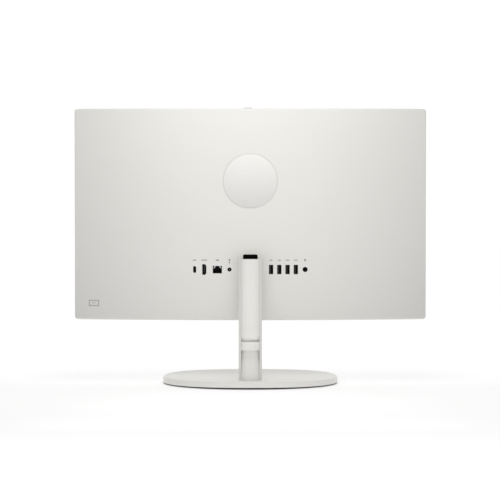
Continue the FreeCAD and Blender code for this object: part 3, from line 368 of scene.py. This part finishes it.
def head_piece(name, bm, material):
    """Makes an object of a closed mesh and lets it ride on the head."""
    bmesh.ops.recalc_face_normals(bm, faces=bm.faces)
    mesh = bpy.data.meshes.new(name)
    bm.to_mesh(mesh)
    bm.free()
    mesh.materials.append(material)
    piece = bpy.data.objects.new(name, mesh)
    scene.collection.objects.link(piece)
    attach(piece, "head")


def printed(name, loops, material):
    """Flat ink shapes laid on the cover. Each loop is a closed outline of (x, z) points in metres."""
    bm = bmesh.new()
    for loop in loops:
        front = [bm.verts.new((x, skin_y(x, z) + INK_LIFT, z)) for x, z in loop]
        back = [bm.verts.new((x, skin_y(x, z) - INK_ROOT, z)) for x, z in loop]
        bm.faces.new(front)
        bm.faces.new(back[::-1])
        for i in range(len(loop)):
            k = (i + 1) % len(loop)
            bm.faces.new((front[k], front[i], back[i], back[k]))
    head_piece(name, bm, material)


def bar(x, z, w, h):
    return [(x - w / 2, z - h / 2), (x + w / 2, z - h / 2), (x + w / 2, z + h / 2), (x - w / 2, z + h / 2)]


def ring_of_bars(x, z, w, h, line):
    """A rectangle drawn with four bars."""
    dx, dz = (w - line) / 2, (h - line) / 2
    return [bar(x, z + dz, w, line), bar(x, z - dz, w, line),
            bar(x - dx, z, line, h - 2 * line), bar(x + dx, z, line, h - 2 * line)]


def middle_x(node):
    lo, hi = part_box(node)
    return (lo.x + hi.x) / 2


MARK_Z = 0.1894                       # height of the captions and of the sockets
SOCKET_Z = 0.1752


def dashes(x, count, w=0.0009, gap=0.0005, h=0.0014):
    """A short row of equal blocks, as a neutral stand-in for a socket's caption."""
    step = w + gap
    return [bar(x + (i - (count - 1) / 2) * step, MARK_Z, w, h) for i in range(count)]


inlet_x = middle_x("dc_socket")
row_low, row_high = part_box("usb_a_sockets")
half_socket = 0.00286
pitch = (row_high.x - row_low.x - 2 * half_socket) / 3

printed("mark_oval_socket", dashes(middle_x("usb_c_socket"), 4), mark_ink)
printed("mark_video_socket", dashes(middle_x("hdmi_socket"), 6), mark_ink)
printed("mark_network_socket", ring_of_bars(middle_x("lan_socket"), MARK_Z, 0.0044, 0.0018, 0.0006), mark_ink)
printed("mark_power_inlet", [bar(inlet_x, MARK_Z + 0.0002, 0.0016, 0.0026)], mark_ink)
for i, blocks in enumerate((3, 3, 4, 4)):
    x = row_high.x - half_socket - pitch * i
    printed(f"mark_data_socket_{i + 1}", dashes(x, blocks), mark_ink)
printed("mark_headset", ring_of_bars(middle_x("audio_socket"), MARK_Z, 0.0026, 0.0030, 0.0007), mark_ink)

LABEL = (0.2401, 0.1230)
printed("label_outline", ring_of_bars(LABEL[0], LABEL[1], 0.0158, 0.0094, 0.0011), label_ink)
printed("label_bar", [bar(LABEL[0], LABEL[1] + 0.0004, 0.0060, 0.0010)], faint_ink)


# ---------------------------------------------------------------- contact in the power inlet
def tube_y(name, x, z, r_out, r_in, y0, y1, n=28):
    """An open tube along Y, as its mesh."""
    bm = bmesh.new()
    rings = []
    turns = [2 * math.pi * i / n for i in range(n)]
    for r, y in ((r_out, y0), (r_out, y1), (r_in, y1), (r_in, y0)):
        rings.append([bm.verts.new((x + r * math.cos(t), y, z + r * math.sin(t))) for t in turns])
    for a, b in zip(rings, rings[1:] + rings[:1]):
        for i in range(n):
            k = (i + 1) % n
            bm.faces.new((a[i], a[k], b[k], b[i])).smooth = True
    head_piece(name, bm, aluminium)


_, dc_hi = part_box("dc_socket")
tube_y("power_contact_sleeve", inlet_x, SOCKET_Z, 0.0005, 0.0002, dc_hi.y - 0.0032, dc_hi.y - 0.0006)


# ---------------------------------------------------------------- floor, lights, camera
def studio_floor():
    """Wide level floor. It glows, so that it stays pale to its horizon, but hardly under the foot, which paints a
    dark shadow line under the foot's edge.
    """
    s = Shader("studio_floor")
    s.set("Base Color", s.mix(s.noise(3.0), (0.59, 0.59, 0.59, 1), (0.61, 0.61, 0.61, 1)))
    s.set("Roughness", 0.9)
    s.set("Specular IOR Level", 0.1)
    s.set("Emission Color", (1, 1, 1, 1))
    place = s.node("ShaderNodeSeparateXYZ", {"Vector": s.coords}).outputs["Y"]
    shift = s.node("ShaderNodeMath", {0: place, 1: LIT_Y}, operation="SUBTRACT").outputs[0]
    away = s.node("ShaderNodeMath", {0: shift}, operation="ABSOLUTE").outputs[0]
    glow = s.ramp(away, 0.15, 0.45, 0.48, 0.62)
    # Painted shadow: the glow drops to a tenth under the foot.
    flat = s.vector("MULTIPLY", s.coords, (1 / FOOT_HALF_X, 1 / FOOT_HALF_Y, 0.0)).outputs[0]
    outside_painted_shadow = s.ramp(s.vector("LENGTH", flat).outputs["Value"], 0.99, 1.01, 0.1, 1.0)
    s.set("Emission Strength", s.node("ShaderNodeMath", {0: glow, 1: outside_painted_shadow}, operation="MULTIPLY").outputs[0])
    mesh = bpy.data.meshes.new("studio_floor")
    corners = [(-FLOOR_HALF, -FLOOR_HALF, 0), (FLOOR_HALF, -FLOOR_HALF, 0),
               (FLOOR_HALF, FLOOR_HALF, 0), (-FLOOR_HALF, FLOOR_HALF, 0)]
    mesh.from_pydata(corners, [], [(0, 1, 2, 3)])
    mesh.materials.append(s.mat)
    piece = bpy.data.objects.new("studio_floor", mesh)
    scene.collection.objects.link(piece)


LIT_Y = 0.2                                # the lamps light the floor most along this line, so it glows less there
FLOOR_HALF = 12.0
FOOT_HALF_X, FOOT_HALF_Y = 0.1341, 0.086   # half the foot's width and depth
studio_floor()

world = bpy.data.worlds.new("studio_air")
scene.world = world
world.use_nodes = True
wt = world.node_tree
background = wt.nodes["Background"]
direction = wt.nodes.new("ShaderNodeTexCoord").outputs["Generated"]
split = wt.nodes.new("ShaderNodeSeparateXYZ")
wt.links.new(direction, split.inputs[0])
toward = wt.nodes.new("ShaderNodeMapRange")       # bright behind the screen, dimmer behind the camera
for socket, value in (("From Min", -0.35), ("From Max", 0.15), ("To Min", 1.03), ("To Max", 0.30)):
    toward.inputs[socket].default_value = value
wt.links.new(split.outputs["Y"], toward.inputs["Value"])
wt.links.new(toward.outputs["Result"], background.inputs["Strength"])
background.inputs["Color"].default_value = (1, 1, 1, 1)


def softbox(name, place, aim, size, watts):
    data = bpy.data.lights.new(name, "AREA")
    data.shape = "RECTANGLE"
    data.size, data.size_y = size
    data.energy = watts
    lamp = bpy.data.objects.new(name, data)
    scene.collection.objects.link(lamp)
    lamp.location = place
    lamp.rotation_mode = "QUATERNION"
    lamp.rotation_quaternion = (Vector(aim) - Vector(place)).to_track_quat("-Z", "Y")
    lamp.visible_camera = False


softbox("key_strip", (0.0, 0.33, 0.57), (0.0, 0.0, 0.50), (0.5, 1.1), 0.45)
softbox("high_panel", (0.0, 0.22, 0.80), (0.0, 0.0, 0.35), (0.5, 0.5), 1.44)
softbox("low_kick", (0.0, 0.26, 0.10), (0.0, 0.10, 0.0), (0.30, 0.10), 0.05)

cam_data = bpy.data.cameras.new("camera")
cam_data.sensor_width = 36.0
cam_data.lens = 87.0
cam = bpy.data.objects.new("camera", cam_data)
scene.collection.objects.link(cam)
cam.location = (0.0005, 1.860, 0.238)
cam.rotation_mode = "QUATERNION"
tilt = math.radians(1.04)                         # the camera looks slightly down
cam.rotation_quaternion = Vector((0.0, -math.cos(tilt), -math.sin(tilt))).to_track_quat("-Z", "Y")
cam_data.clip_start, cam_data.clip_end = 0.05, 60.0
scene.camera = cam

scene.view_settings.view_transform = "Standard"
scene.view_settings.look = "None"
